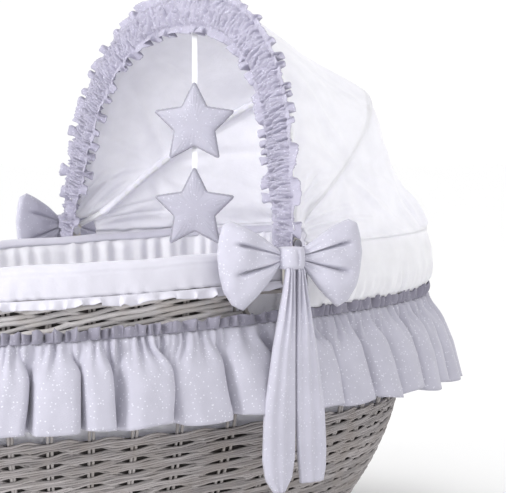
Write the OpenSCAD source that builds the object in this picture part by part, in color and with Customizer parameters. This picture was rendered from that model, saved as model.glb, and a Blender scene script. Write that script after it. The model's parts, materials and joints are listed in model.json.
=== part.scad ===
// Moses basket with a folding hood, frilled skirt, liner and hanging stars. Millimetres, +Z up.
// The origin is the centre of the base on the floor, and the hood's end of the basket is at +X.

/* [Basket] */
// Half length of the rim
rim_a = 459; // [440:1:490]
// Half width of the rim
rim_b = 240; // [228:1:250]
// Squareness of the oval, 2 is an ellipse
rim_n = 2.3; // [2.1:0.1:2.5]
// Height of the covered rim above the floor, at mid length
rim_h = 410; // [400:1:430]
// Rise of the rim towards the hood's end, per millimetre of length
rim_slope = 0.032; // [0:0.001:0.04]
// Thickness of the woven wall
wall_t = 10; // [8:0.5:10]
// Number of stake pairs round the open band
stake_pairs = 42; // [36:2:48]
// Radius of one stake
stake_r = 2.5; // [2:0.1:3]

/* [Skirt] */
// Drop of the skirt's gathering line below the rim
skirt_line = 95; // [90:1:98]
// Drop of the skirt's hem below the rim
skirt_hem = 208; // [195:1:225]
// How far the hem stands out from the rim
skirt_flare = 52; // [40:1:54]

/* [Hood] */
// Place of the hood's pivots along the basket
pivot_x = 58; // [40:1:70]
// Radius of the front hoop from its pivots to its crest
front_r = 330; // [320:1:335]
// Half width of the front hoop
front_hw = 253; // [250:1:254]
// Lean of the front hoop towards the head
front_lean = 6.6; // [4:0.1:10]
// Radius of the rear hoop
rear_r = 355; // [345:1:360]
// Half width of the rear hoop
rear_hw = 226; // [222:1:228]
// Lean of the rear hoop towards the head
rear_lean = 52; // [48:0.5:54]
// Radius of the hoops' rod
rod_r = 4.5; // [4:0.1:4.5]
// Width of the ruched trim across its face
trim_w = 62; // [50:1:64]

/* [Stars and bows] */
// Radius of a star from its centre to its tips
star_r = 60; // [50:1:62]
// Thickness of a padded star
star_t = 14; // [10:1:16]
// Half length of a bow
bow_half = 105; // [95:1:108]
// Length of a bow's tail below its knot
tail_len = 290; // [250:1:292]

/* [Mattress] */
// Thickness of the mattress
mattress_t = 50; // [40:1:55]

/* [Hidden] */
$fn = 48;
ring_n = 64;         // stations round the basket
arch_n = 40;         // stations over a hoop
arch_e = 2.4;        // squareness of a hoop
clear = 0.3;         // gap between pieces that don't touch

foot_h = 14;         // height of the foot border
mat_t = 10;          // thickness of the woven base
floor_t = 2;         // thickness of the liner's floor
cloth_t = 3;         // thickness of the gathered liner
open_top = 125;      // the open band starts this far below the rim
open_low = 231;      // and ends here
roll_drop = 14;      // centre of the rim's braid below the cuff's top
roll_in = 5;         // and in from the rim line
roll_r = 10.5;
cuff_low = 42;       // lower edge of the turned-over liner
frill_low = 54;

pivot_z = rim_h + rim_slope * pivot_x + 6;
plate_y = 253;       // inner face of a hood bracket
plate_t = 4;
rear_eye_y = 261;   // middle of the rear hoop's eyes
front_eye_y = 270.1; // middle of the front hoop's eyes
eye_t = 7;
eye_r = 8;
pin_r = 4;
bore_r = 4.1;
screw_r = 2;
screw_drop = [33, 47];

grip_w = 100;        // hand hole, inside its binding
grip_h = 28;
grip_drop = 74;      // its centre below the rim
grip_edge = 4.7;     // thickness of the binding
wall_inside = 205;   // a plane inside the side wall, where cuts through it start

sheet_t = 2.5;       // hood cloth with its seams
sheet_gap = 1.5;     // cloth to rod
panel_n = 32;        // stations over a hood panel
cloth_foot = 30;     // the hood's cloth starts this far along the hoops
apron_in = 13;       // the hood's lower band, out from the rim
apron_low = 79;
apron_from = 81;     // angle round the rim where the band starts, from the head

trim_t = 12;
trim_front = 8;      // trim's back face ahead of the hoop's plane
trim_r = 318;        // middle of the trim
trim_hw = 248;
trim_foot = 12;      // the trim starts this far along the hoop

star_turn = 48;      // the stars' heading
star_one = 577;      // heights of the two stars
star_two = 456;
ribbon_w = 7.5;
tab_r = 5.1;      // the ribbon's loop round the front hoop

bow_x = [34, 70];    // near and far
bow_y = [290, 297];
bow_z = [402, 426];
bow_turn = 12;
knot_w = 37;
knot_h = 29;

crest_x = pivot_x + front_r * sin(front_lean);
crest_z = pivot_z + front_r * cos(front_lean);
mat_z = foot_h + mat_t;
mattress_z = mat_z + 2 * clear + floor_t;
mattress_in = -118;

// How far the wall stands in from the rim at a depth below it: a lean, then a rounded bilge.
function wall_in(d) = -0.11 * d - 75 * pow(max(0, d - 200) / 210, 2);
function liner_in(d) = -roll_in - 12 + wall_in(d) - wall_in(24);
// The rim's slope fades out down the open band, so the base is level.
function slope_at(d) = rim_slope * min(1, max(0, (open_low - d) / (open_low - open_top)));
function squared(c, n) = sign(c) * pow(abs(c), 2 / n);
function oval(out, angle) = [
    (rim_a + out) * squared(cos(angle), rim_n),
    (rim_b + out) * squared(sin(angle), rim_n)];
function on_wall(out, d, angle) =
    let (p = oval(out, angle)) [p.x, p.y, rim_h - d + slope_at(d) * p.x];
function side_y(out, x) = (rim_b + out) * pow(1 - pow(abs(x) / (rim_a + out), rim_n), 1 / rim_n);
function oval_outline(out) = [for (k = [0 : ring_n - 1]) oval(out, 360 * k / ring_n)];

// Triangles of a closed loop of sections, each with m points.
function loop_faces(n, m) = [
    for (k = [0 : n - 1], j = [0 : m - 1])
    let (k2 = (k + 1) % n, j2 = (j + 1) % m)
    each [[k * m + j, k * m + j2, k2 * m + j2], [k * m + j, k2 * m + j2, k2 * m + j]]];
// The same for an open run of sections, with its two ends closed.
function run_faces(n, m) = concat(
    [for (k = [0 : n - 2], j = [0 : m - 1]) let (j2 = (j + 1) % m)
        each [[k * m + j, k * m + j2, (k + 1) * m + j2], [k * m + j, (k + 1) * m + j2, (k + 1) * m + j]]],
    [[for (j = [m - 1 : -1 : 0]) j]],
    [[for (j = [0 : m - 1]) (n - 1) * m + j]]);

// A section of [out, drop] points carried right round the basket.
module ring(section) {
    points = [
        for (k = [0 : ring_n - 1], s = section) on_wall(s[0], s[1], 360 * k / ring_n)];
    polyhedron(points, loop_faces(ring_n, len(section)), convexity = 6);
}

module both_sides() {
    children();
    mirror([0, 1, 0]) children();
}

// Near is the -Y side.
module near_side() {
    mirror([0, 1, 0]) children();
}

module slot_outline(w, h) {
    hull_w = w - h;
    square([hull_w, h], center = true);
    for (x = [-1, 1]) translate([x * hull_w / 2, 0]) circle(d = h);
}

// ---- Wicker ----

module foot_border() {
    color([0.74, 0.72, 0.72])
    linear_extrude(foot_h)
    difference() {
        polygon(oval_outline(-108));
        polygon(oval_outline(-131));
    }
}

module base_sticks() {
    color([0.74, 0.72, 0.72])
    for (x = [-270 : 90 : 270])
        translate([x, 0, foot_h - 4])
        rotate([90, 0, 0])
        cylinder(r = 4, h = 2 * side_y(-134, x), center = true);
}

module base_mat() {
    color([0.76, 0.74, 0.74])
    translate([0, 0, foot_h])
    linear_extrude(mat_t) polygon(oval_outline(-121));
}

module lower_weave() {
    drops = [rim_h - foot_h, 380, 360, 335, 305, 270, open_low];
    color([0.76, 0.74, 0.74])
    ring(concat(
        [for (d = drops) [wall_in(d), d]],
        [for (i = [len(drops) - 1 : -1 : 0]) [wall_in(drops[i]) - wall_t, drops[i]]]));
}

module stake_pair(angle) {
    low = on_wall(wall_in(open_low) - wall_t / 2, open_low - clear, angle);
    high = on_wall(wall_in(open_top) - wall_t / 2, open_top + 2 * clear, angle);
    run = high - low;
    ahead = on_wall(0, open_low, angle + 1) - on_wall(0, open_low, angle - 1);
    heading = atan2(run.y, run.x);
    translate(low + [0, 0, 0.2])
    rotate([0, acos(run.z / norm(run)), heading])
    linear_extrude(norm(run) - 0.4)
    rotate(atan2(ahead.y, ahead.x) - heading) {
        square([2 * stake_r + 0.6, 1.6 * stake_r], center = true);
        for (x = [-1, 1]) translate([x * (stake_r + 0.3), 0]) circle(r = stake_r);
    }
}

module stakes() {
    color([0.72, 0.70, 0.70])
    for (k = [0 : stake_pairs - 1]) stake_pair(360 * (k + 0.5) / stake_pairs);
}

module upper_weave() {
    top = 25;
    color([0.79, 0.77, 0.78])
    difference() {
        ring([
            [wall_in(open_top), open_top], [wall_in(top), top],
            [wall_in(top) - wall_t, top], [wall_in(open_top) - wall_t, open_top]]);
        both_sides() {
            grip_place() slot_outline(grip_w + 2 * grip_edge + 2 * clear, grip_h + 2 * grip_edge + 2 * clear);
            for (d = screw_drop) screw_place(d) cylinder(r = screw_r + clear, h = 60);
        }
    }
}

module rim_border() {
    color([0.78, 0.76, 0.77])
    ring([for (a = [0 : 36 : 324]) [-roll_in + roll_r * cos(a), roll_drop - roll_r * sin(a)]]);
}

// A shape through the side wall, standing on the XZ plane at the hand hole.
module grip_place() {
    translate([pivot_x, wall_inside, rim_h + rim_slope * pivot_x - grip_drop])
    rotate([-90, 0, 0])
    linear_extrude(50)
    children();
}

module grip_binding() {
    z = rim_h + rim_slope * pivot_x - grip_drop;
    color([0.70, 0.68, 0.68])
    translate([pivot_x, side_y(wall_in(grip_drop) - wall_t - 1, pivot_x), z])
    rotate([-90, 0, 0])
    linear_extrude(wall_t + 3)
    difference() {
        slot_outline(grip_w + 2 * grip_edge, grip_h + 2 * grip_edge);
        slot_outline(grip_w, grip_h);
    }
}

module grip_binding_near() near_side() grip_binding();
module grip_binding_far() grip_binding();

// ---- Liner ----

module liner_floor() {
    color([0.95, 0.95, 0.97])
    translate([0, 0, mat_z + clear])
    linear_extrude(floor_t) polygon(oval_outline(-113));
}

module liner_wall() {
    drops = [rim_h - mat_z - floor_t - 4, 360, 335, 305, 272, 235, 190, 24 + clear];
    color([0.94, 0.94, 0.96])
    ring(concat(
        [for (d = drops) [liner_in(d), d]],
        [for (i = [len(drops) - 1 : -1 : 0]) [liner_in(drops[i]) - cloth_t, drops[i]]]));
}

module liner_cuff() {
    color([0.93, 0.92, 0.97])
    difference() {
        ring([
            [11, cuff_low], [11, 12], [7, 3], [-5, 0], [-16, 3], [-20, 12], [-20, 24],
            [-17, 24], [-17, 12.5], [-13.5, 5.5], [-5, 2.8], [4.5, 5.5], [8, 12.5], [8, cuff_low]]);
        both_sides() screw_place(screw_drop[0]) cylinder(r = screw_r + 1, h = 60);
    }
}

module liner_frill() {
    color([0.95, 0.95, 0.98])
    difference() {
        ring([
            [12.5, frill_low], [11.5, cuff_low + clear], [8, cuff_low + clear], [7.5, frill_low]]);
        both_sides() screw_place(screw_drop[1]) cylinder(r = screw_r + 1, h = 60);
    }
}

// ---- Skirt ----

module skirt_elastic() {
    color([0.92, 0.92, 0.94])
    ring([[6.5, skirt_line + 3], [6.5, skirt_line - 3], [4, skirt_line - 3], [4, skirt_line + 3]]);
}

module skirt_heading() {
    color([0.75, 0.73, 0.80])
    ring([
        [17, skirt_line - clear], [18, skirt_line - 14], [9, skirt_line - 14], [8, skirt_line - clear]]);
}

module skirt_valance() {
    mid = (skirt_line + skirt_hem) / 2;
    color([0.82, 0.80, 0.87])
    ring([
        [skirt_flare, skirt_hem], [skirt_flare * 0.66, mid], [14, skirt_line],
        [8, skirt_line], [skirt_flare * 0.66 - 12, mid], [skirt_flare - 16, skirt_hem]]);
}

// ---- Hood brackets ----

module screw_place(d) {
    translate([pivot_x, wall_inside, rim_h + rim_slope * pivot_x - d])
    rotate([-90, 0, 0])
    children();
}

// A tapered plate with a round head about the pivot.
module bracket_profile() {
    low = pivot_z - (rim_h + rim_slope * pivot_x - 56);
    difference() {
        polygon(concat(
            [for (a = [0 : 15 : 180]) eye_r * [cos(a), sin(a)]],
            [[-7, -low], [7, -low]]));
        circle(r = pin_r + 0.05);
    }
}

module hood_bracket() {
    color([0.93, 0.92, 0.90])
    difference() {
        translate([pivot_x, plate_y + plate_t, pivot_z])
        rotate([90, 0, 0])
        linear_extrude(plate_t) bracket_profile();
        for (d = screw_drop) screw_place(d) cylinder(r = screw_r + 0.2, h = 80);
    }
}

module hood_bracket_near() near_side() hood_bracket();
module hood_bracket_far() hood_bracket();

// Just inside the wall, at a screw: the face of its nut.
function nut_y(d) = side_y(liner_in(d), pivot_x) + 0.9;

module bracket_nuts() {
    color([0.80, 0.80, 0.80])
    both_sides()
    for (d = screw_drop)
        translate([pivot_x, nut_y(d), rim_h + rim_slope * pivot_x - d])
        rotate([-90, 0, 0])
        difference() {
            cylinder(r = 5, h = 2.2);
            translate([0, 0, -1]) cylinder(r = screw_r, h = 5);
        }
}

module bracket_screws() {
    color([0.80, 0.80, 0.80])
    both_sides()
    for (d = screw_drop)
        translate([pivot_x, nut_y(d), rim_h + rim_slope * pivot_x - d])
        rotate([-90, 0, 0]) {
            cylinder(r = screw_r, h = plate_y + plate_t - nut_y(d));
            translate([0, 0, plate_y + plate_t - nut_y(d)]) cylinder(r = 4, h = 1.6);
        }
}

module pivot_pin() {
    last = front_eye_y + eye_t / 2 + clear;
    color([0.78, 0.78, 0.78])
    translate([pivot_x, plate_y - 2, pivot_z])
    rotate([-90, 0, 0]) {
        cylinder(r = 6.5, h = 2);
        cylinder(r = pin_r, h = last - plate_y + 2);
        translate([0, 0, last - plate_y + 2]) cylinder(r = 6.5, h = 2.5);
    }
}

module pivot_pin_near() near_side() pivot_pin();
module pivot_pin_far() pivot_pin();

// ---- Hoops ----

// Stands children that are drawn in the XY plane (X across, Y up the hoop) into a hoop's leaning plane.
module hoop_plane(lean) {
    translate([pivot_x, 0, pivot_z])
    rotate([0, lean, 0])
    rotate([90, 0, 90])
    children();
}

// A point of a hoop in its own plane. Its feet splay out to its eyes.
function arch_point(r, hw, eye_y, t) =
    let (h = r * pow(sin(t), 2 / arch_e))
    [hw * squared(cos(t), arch_e) + sign(cos(t)) * (eye_y - hw) / (1 + pow(h / 32, 4)), h];
function unit(v) = v / norm(v);

module hoop_rod(r, hw, eye_y) {
    start = asin(pow((eye_r + 5) / r, arch_e / 2));
    sides = 8;
    // More stations where the feet splay.
    spread = [for (k = [0 : arch_n]) let (u = k / arch_n) start + (180 - 2 * start) * (u - 0.085 * sin(360 * u))];
    places = [for (t = spread) arch_point(r, hw, eye_y, t)];
    n = len(places);
    ways = [for (k = [0 : n - 1])
        k == 0 ? [0, 1] : k == n - 1 ? [0, -1] : unit(places[k + 1] - places[k - 1])];
    points = [for (k = [0 : n - 1], j = [0 : sides - 1])
        let (a = 360 * j / sides, out = [-ways[k].y, ways[k].x] * rod_r * cos(a))
        [places[k].x + out.x, places[k].y + out.y, rod_r * sin(a)]];
    polyhedron(points, run_faces(n, sides), convexity = 8);
}

module hoop_ends(eye_y) {
    for (side = [-1, 1])
        translate([side * eye_y, 0, 0])
        difference() {
            union() {
                rotate([0, 90, 0]) cylinder(r = eye_r, h = eye_t, center = true);
                translate([-eye_t / 2, 0, -rod_r - 0.5]) cube([eye_t, eye_r + 5, 2 * rod_r + 1]);
            }
            rotate([0, 90, 0]) cylinder(r = bore_r, h = eye_t + 2, center = true);
        }
}

module rear_hoop() color([0.88, 0.88, 0.90]) hoop_plane(rear_lean) hoop_rod(rear_r, rear_hw, rear_eye_y);
module rear_hoop_ends() color([0.90, 0.89, 0.87]) hoop_plane(rear_lean) hoop_ends(rear_eye_y);
module front_hoop() color([0.88, 0.88, 0.90]) hoop_plane(front_lean) hoop_rod(front_r, front_hw, front_eye_y);
module front_hoop_ends() color([0.90, 0.89, 0.87]) hoop_plane(front_lean) hoop_ends(front_eye_y);

// ---- Hood cloth ----

function in_space(lean, p, ahead) = [
    pivot_x + p.y * sin(lean) + ahead * cos(lean), p.x, pivot_z + p.y * cos(lean) - ahead * sin(lean)];
// A point over a hoop, so far outside its rod. The cloth starts a little way up the hoop.
function over_hoop(r, hw, eye_y, lean, out, u, ahead) =
    let (
        start = asin(pow(cloth_foot / r, arch_e / 2)),
        t = start + (180 - 2 * start) * (u - 0.075 * sin(360 * u)),
        way = arch_point(r, hw, eye_y, t + 0.2) - arch_point(r, hw, eye_y, t - 0.2))
    in_space(lean, arch_point(r, hw, eye_y, t) + out * unit([way.y, -way.x]), ahead);
function blend(a, b, v) = a + (b - a) * v;

// A closed sheet of cloth. Each row is one section across it, round its inner and outer skins.
module cloth(rows) {
    n = len(rows);
    m = len(rows[0]);
    polyhedron([for (r = rows) each r], run_faces(n, m), convexity = 8);
}

module hood_front_panel() {
    steps = 3;
    color([0.95, 0.95, 0.98])
    cloth([for (k = [0 : panel_n]) let (
            u = k / panel_n,
            low = rod_r + sheet_gap,
            high = low + sheet_t,
            edge = function (out) [
                over_hoop(front_r, front_hw, front_eye_y, front_lean, out, u, 0),
                over_hoop(rear_r, rear_hw, rear_eye_y, rear_lean, out, u, -1)],
            inner = edge(low),
            outer = edge(high))
        concat(
            [for (i = [0 : steps]) blend(inner[0], inner[1], i / steps)],
            [for (i = [steps : -1 : 0]) blend(outer[0], outer[1], i / steps)])]);
}

module hood_rear_panel() {
    steps = 5;
    bulge = 3;
    color([0.95, 0.95, 0.98])
    cloth([for (k = [0 : panel_n]) let (
            u = k / panel_n,
            low = rod_r + sheet_gap,
            angle = apron_from * (1 - 2 * u),
            top = function (out) over_hoop(rear_r, rear_hw, rear_eye_y, rear_lean, out, u, 1),
            foot = function (out) on_wall(apron_in + out, -2, angle),
            row = function (out, i) blend(top(low + out), foot(out), i / steps)
                + bulge * sin(180 * i / steps) * unit(blend(top(low), foot(0), i / steps) - [pivot_x, 0, rim_h]))
        concat(
            [for (i = [0 : steps]) row(0, i)],
            [for (i = [steps : -1 : 0]) row(sheet_t, i)])]);
}

module hood_lower_band() {
    n = 28;
    color([0.95, 0.95, 0.98])
    cloth([for (k = [0 : n]) let (angle = apron_from * (1 - 2 * k / n)) [
        on_wall(apron_in, apron_low, angle),
        on_wall(apron_in, -1.5, angle),
        on_wall(apron_in + cloth_t, -1.5, angle),
        on_wall(apron_in + cloth_t + 3, apron_low, angle)]]);
}

function trim_edge(out) = [for (k = [0 : arch_n])
    let (
        start = asin(pow(trim_foot / (trim_r + out), arch_e / 2)),
        t = start + (180 - 2 * start) * k / arch_n)
    [(trim_hw + out) * squared(cos(t), arch_e), (trim_r + out) * pow(sin(t), 2 / arch_e)]];

module hood_trim() {
    outer = trim_edge(trim_w / 2);
    inner = trim_edge(-trim_w / 2);
    color([0.77, 0.75, 0.85])
    hoop_plane(front_lean)
    translate([0, 0, -trim_front - trim_t])
    linear_extrude(trim_t)
    polygon(concat(outer, [for (k = [arch_n : -1 : 0]) inner[k]]));
}

// ---- Stars ----

module star_outline() {
    tips = 5;
    valley = star_r * 0.5;
    polygon([for (k = [0 : 2 * tips - 1])
        let (r = k % 2 == 0 ? star_r : valley, a = 90 + 180 * k / tips) [r * cos(a), r * sin(a)]]);
}

module star(z) {
    color([0.80, 0.79, 0.88])
    translate([crest_x, 0, z])
    rotate([0, 0, star_turn])
    translate([-0.5 - clear, 0, 0])
    rotate([90, 0, -90])
    linear_extrude(star_t) star_outline();
}

module ribbon_tab() {
    color([0.97, 0.97, 0.98])
    translate([crest_x, 0, crest_z])
    rotate([90, 0, 0])
    difference() {
        cylinder(r = tab_r, h = ribbon_w, center = true);
        cylinder(r = tab_r - 0.45, h = ribbon_w + 2, center = true);
    }
}

module star_ribbon() {
    low = star_two + star_r * 0.8;
    color([0.97, 0.97, 0.98])
    translate([crest_x, 0, low])
    rotate([0, 0, star_turn])
    translate([-0.5, -ribbon_w / 2, 0])
    cube([1, ribbon_w, crest_z - tab_r - clear - low]);
}

module upper_star() star(star_one);
module lower_star() star(star_two);

// ---- Bows ----

module bow_place(end) {
    translate([bow_x[end], bow_y[end], bow_z[end]])
    rotate([0, 0, bow_turn])
    children();
}

module bow_loops(end) {
    depth = 22;
    color([0.83, 0.82, 0.90])
    bow_place(end)
    translate([0, depth / 2, 0])
    rotate([90, 0, 0])
    linear_extrude(depth)
    for (side = [-1, 1])
        polygon([for (p = [
            [knot_w / 2 + 0.5, 10], [bow_half * 0.75, 46], [bow_half * 0.93, 51], [bow_half, 8],
            [bow_half * 0.92, -40], [bow_half * 0.70, -68], [bow_half * 0.5, -50],
            [knot_w / 2 + 0.5, -10]]) [side * p.x, p.y]]);
}

module bow_knot(end) {
    depth = 24;
    color([0.83, 0.82, 0.90])
    bow_place(end)
    translate([0, depth / 2, 0])
    rotate([90, 0, 0])
    linear_extrude(depth)
    slot_outline(knot_w, knot_h);
}

module bow_tails(end) {
    depth = 10;
    color([0.80, 0.79, 0.86])
    translate([bow_x[end], bow_y[end] + 8 + depth / 2, bow_z[end] - knot_h / 2 - 0.5])
    rotate([90, 0, 0])
    linear_extrude(depth)
    for (side = [-1, 1])
        translate([side * 1.5, 0])
        polygon([for (p = [
            [0, 0], [12, 0], [30, -90], [50, -190], [44, -tail_len + 26], [22, -tail_len + 6],
            [4, -tail_len + 40], [0, -190]]) [side * p.x, p.y]]);
}

module bow_loops_near() near_side() bow_loops(0);
module bow_knot_near() near_side() bow_knot(0);
module bow_tails_near() near_side() bow_tails(0);
module bow_loops_far() bow_loops(1);
module bow_knot_far() bow_knot(1);
module bow_tails_far() bow_tails(1);

// ---- Mattress ----

module mattress_core() {
    skin = 2;
    color([0.95, 0.93, 0.85])
    translate([0, 0, mattress_z + skin + clear])
    linear_extrude(mattress_t - 2 * skin - 2 * clear)
    polygon(oval_outline(mattress_in - skin - clear));
}

module mattress_cover() {
    skin = 2;
    color([0.97, 0.97, 0.97])
    translate([0, 0, mattress_z])
    difference() {
        linear_extrude(mattress_t) polygon(oval_outline(mattress_in));
        translate([0, 0, skin])
        linear_extrude(mattress_t - 2 * skin)
        polygon(oval_outline(mattress_in - skin));
    }
}

foot_border();
base_sticks();
base_mat();
lower_weave();
stakes();
upper_weave();
rim_border();
grip_binding_near();
grip_binding_far();
liner_floor();
liner_wall();
liner_cuff();
liner_frill();
skirt_elastic();
skirt_heading();
skirt_valance();
hood_bracket_near();
hood_bracket_far();
bracket_nuts();
bracket_screws();
pivot_pin_near();
pivot_pin_far();
rear_hoop();
rear_hoop_ends();
front_hoop();
front_hoop_ends();
hood_front_panel();
hood_rear_panel();
hood_lower_band();
hood_trim();
ribbon_tab();
star_ribbon();
upper_star();
lower_star();
bow_loops_near();
bow_knot_near();
bow_tails_near();
bow_loops_far();
bow_knot_far();
bow_tails_far();
mattress_core();
mattress_cover();
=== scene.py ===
"""Moses basket: woven willow, pleated skirt, folding hood, padded stars and bows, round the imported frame."""
import json
import math

import bmesh
import bpy
import numpy as np
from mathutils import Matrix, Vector


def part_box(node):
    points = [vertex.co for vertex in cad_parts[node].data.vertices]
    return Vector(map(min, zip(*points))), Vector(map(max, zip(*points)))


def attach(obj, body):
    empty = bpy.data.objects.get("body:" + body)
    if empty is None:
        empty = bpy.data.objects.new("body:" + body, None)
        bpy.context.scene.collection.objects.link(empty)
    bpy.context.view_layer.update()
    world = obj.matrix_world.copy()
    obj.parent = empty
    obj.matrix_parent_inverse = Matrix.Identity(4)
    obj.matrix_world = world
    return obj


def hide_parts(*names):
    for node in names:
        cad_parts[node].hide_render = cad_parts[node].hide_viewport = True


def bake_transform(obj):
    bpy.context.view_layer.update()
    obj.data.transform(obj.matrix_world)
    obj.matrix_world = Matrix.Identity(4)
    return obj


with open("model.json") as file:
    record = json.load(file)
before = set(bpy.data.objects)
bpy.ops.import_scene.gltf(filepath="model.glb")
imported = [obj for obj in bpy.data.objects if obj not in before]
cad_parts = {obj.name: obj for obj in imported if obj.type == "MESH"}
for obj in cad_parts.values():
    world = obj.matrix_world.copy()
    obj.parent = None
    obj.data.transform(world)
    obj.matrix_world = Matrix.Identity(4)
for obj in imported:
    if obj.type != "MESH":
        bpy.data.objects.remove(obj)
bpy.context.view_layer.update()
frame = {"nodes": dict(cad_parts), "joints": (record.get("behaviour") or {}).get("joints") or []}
rng = np.random.default_rng(11)

# ---- Sizes in metres, as the frame has them ----

ROLL_R = 0.0105
ROLL_IN = 0.005
RIM_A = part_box("rim_border")[1].x - ROLL_R + ROLL_IN
RIM_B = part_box("rim_border")[1].y - ROLL_R + ROLL_IN
RIM_N = 2.3
RIM_H = 0.410
RIM_SLOPE = 0.032
OPEN_TOP = 0.125
OPEN_LOW = 0.231
STAKES = 42
WALL_MID = -0.005        # middle of the wall, in from its outer face
SKIRT_LINE = 0.095
SKIRT_HEM = 0.208

JOINTS = {j["name"]: j for j in frame["joints"]}
PIVOT = Vector(JOINTS["hood_fold"]["pos_m"])
CREST = Vector(JOINTS["ribbon_level"]["pos_m"])
HOOP_E = 2.4
CLOTH_FOOT = 0.030
FRONT = {"r": 0.330, "hw": 0.253, "eye": 0.2701, "lean": math.radians(6.6)}
REAR = {"r": 0.355, "hw": 0.226, "eye": 0.2610, "lean": math.radians(52)}
TRIM = {"r": 0.318, "hw": 0.248, "eye": 0.248, "lean": FRONT["lean"]}
CLOTH_OUT = 0.007        # the hood's cloth, out from the middle of its hoops
APRON_TURN = 81 / 360


def squared(c, n):
    return np.sign(c) * np.abs(c) ** (2 / n)


def wall_in(drop):
    """How far the wall stands in from the rim at a depth below it."""
    return -0.11 * drop - 0.075 * (np.maximum(0, drop - 0.2) / 0.21) ** 2


def liner_in(drop):
    return -ROLL_IN - 0.012 + wall_in(drop) - wall_in(0.024)


def on_wall(out, drop, turn):
    """Points round the basket. A turn of 0 is the head's end and 0.75 is the near side."""
    out, drop, turn = np.broadcast_arrays(out, drop, turn)
    angle = 2 * math.pi * turn
    x = (RIM_A + out) * squared(np.cos(angle), RIM_N)
    y = (RIM_B + out) * squared(np.sin(angle), RIM_N)
    slope = RIM_SLOPE * np.clip((OPEN_LOW - drop) / (OPEN_LOW - OPEN_TOP), 0, 1)
    return np.stack([x, y, RIM_H - drop + slope * x], -1)


# ---- Numbers: random but smooth, and easing ----

def smooth(t):
    t = np.clip(t, 0, 1)
    return t * t * (3 - 2 * t)


def lerp(a, b, t):
    return a + (b - a) * t


def ripple(turn, low, high, terms=6):
    """A smooth random wave that closes after one turn, of about low to high crests."""
    counts = rng.integers(low, high + 1, terms)
    starts = rng.random(terms)
    total = sum(np.cos(2 * math.pi * (n * turn + s)) for n, s in zip(counts, starts))
    return total / math.sqrt(terms)


def bumps(x, y, count, terms=7):
    """A smooth random field of about count waves to the metre both ways."""
    total = 0
    for _ in range(terms):
        heading = rng.random() * 2 * math.pi
        pitch = count * (0.6 + 0.8 * rng.random()) * 2 * math.pi
        start = rng.random() * 2 * math.pi
        total = total + np.cos(pitch * (x * math.cos(heading) + y * math.sin(heading)) + start)
    return total / math.sqrt(terms)


# ---- Meshes ----

def quads(n, m, loop=False, tube=False):
    """Faces of a grid of n rows of m points. loop joins the last row to the first, tube the last point."""
    k, j = np.meshgrid(np.arange(n if loop else n - 1), np.arange(m if tube else m - 1), indexing="ij")
    k2, j2 = (k + 1) % n, (j + 1) % m
    return np.stack([k * m + j, k2 * m + j, k2 * m + j2, k * m + j2], -1).reshape(-1, 4)


def piece(name, points, faces, material, slot):
    points = np.asarray(points, float).reshape(-1, 3)
    faces = [list(f) for f in faces]
    mesh = bpy.data.meshes.new(name)
    mesh.from_pydata(points.tolist(), [], faces)
    made = bpy.data.objects.new(name, mesh)
    bpy.context.scene.collection.objects.link(made)
    mesh.materials.append(material)
    finish_mesh(made)
    return made


def finish_mesh(obj):
    shape = bmesh.new()
    shape.from_mesh(obj.data)
    loose = [v for v in shape.verts if not v.link_faces]
    bmesh.ops.delete(shape, geom=loose, context="VERTS")
    bmesh.ops.recalc_face_normals(shape, faces=shape.faces)
    shape.to_mesh(obj.data)
    shape.free()
    obj.data.polygons.foreach_set("use_smooth", [True] * len(obj.data.polygons))


def settle(obj):
    """Applies the object's modifiers to its mesh."""
    bpy.context.view_layer.update()
    shaped = bpy.data.meshes.new_from_object(obj.evaluated_get(bpy.context.evaluated_depsgraph_get()))
    obj.modifiers.clear()
    obj.data = shaped
    obj.data.polygons.foreach_set("use_smooth", [True] * len(shaped.polygons))
    return obj


def thicken(obj, thickness):
    made = obj.modifiers.new("thickness", "SOLIDIFY")
    made.thickness = thickness
    made.offset = 0
    return settle(obj)


def sheet_piece(name, points, material, slot, thickness, loop=False):
    """A sheet of cloth from a grid of points."""
    n, m = points.shape[:2]
    made = piece(name, points, quads(n, m, loop), material, slot)
    return thicken(made, thickness)


def tubes(paths, up, radius, sides=6, loop=True, keep=None):
    """Points and faces of rods along paths of shape (rods, stations, 3); keep marks which there are."""
    rods, stations = paths.shape[:2]
    if loop:
        along = np.roll(paths, -1, 1) - np.roll(paths, 1, 1)
    else:
        along = np.gradient(paths, axis=1)
    along /= np.linalg.norm(along, axis=-1, keepdims=True)
    side = up - (up * along).sum(-1, keepdims=True) * along
    side /= np.linalg.norm(side, axis=-1, keepdims=True)
    other = np.cross(along, side)
    angle = np.arange(sides) * 2 * math.pi / sides
    radius = np.broadcast_to(radius, paths.shape[:2])[..., None, None]
    ring = np.cos(angle)[:, None] * side[:, :, None] + np.sin(angle)[:, None] * other[:, :, None]
    points = paths[:, :, None] + radius * ring
    one = quads(stations, sides, loop, True)
    faces = (one[None] + (np.arange(rods) * stations * sides)[:, None, None]).reshape(-1, 4)
    ends = []
    if keep is not None:
        kept = np.repeat(keep.reshape(-1), sides)
        faces = faces[kept[faces].all(1)]
        nxt, prev = np.roll(keep, -1, 1), np.roll(keep, 1, 1)
        for rod, station in np.argwhere(keep & ~(nxt & prev)):
            first = (rod * stations + station) * sides
            ends.append([first + i for i in range(sides)])
    elif not loop:
        for rod in range(rods):
            for station in (0, stations - 1):
                first = (rod * stations + station) * sides
                ends.append([first + i for i in range(sides)])
    return points.reshape(-1, 3), faces.tolist() + ends


def joined(parts):
    """One set of points and faces from several."""
    points, faces, first = [], [], 0
    for p, f in parts:
        points.append(p)
        faces += [[first + i for i in face] for face in f]
        first += len(p)
    return np.concatenate(points), faces


# ---- Materials ----

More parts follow.
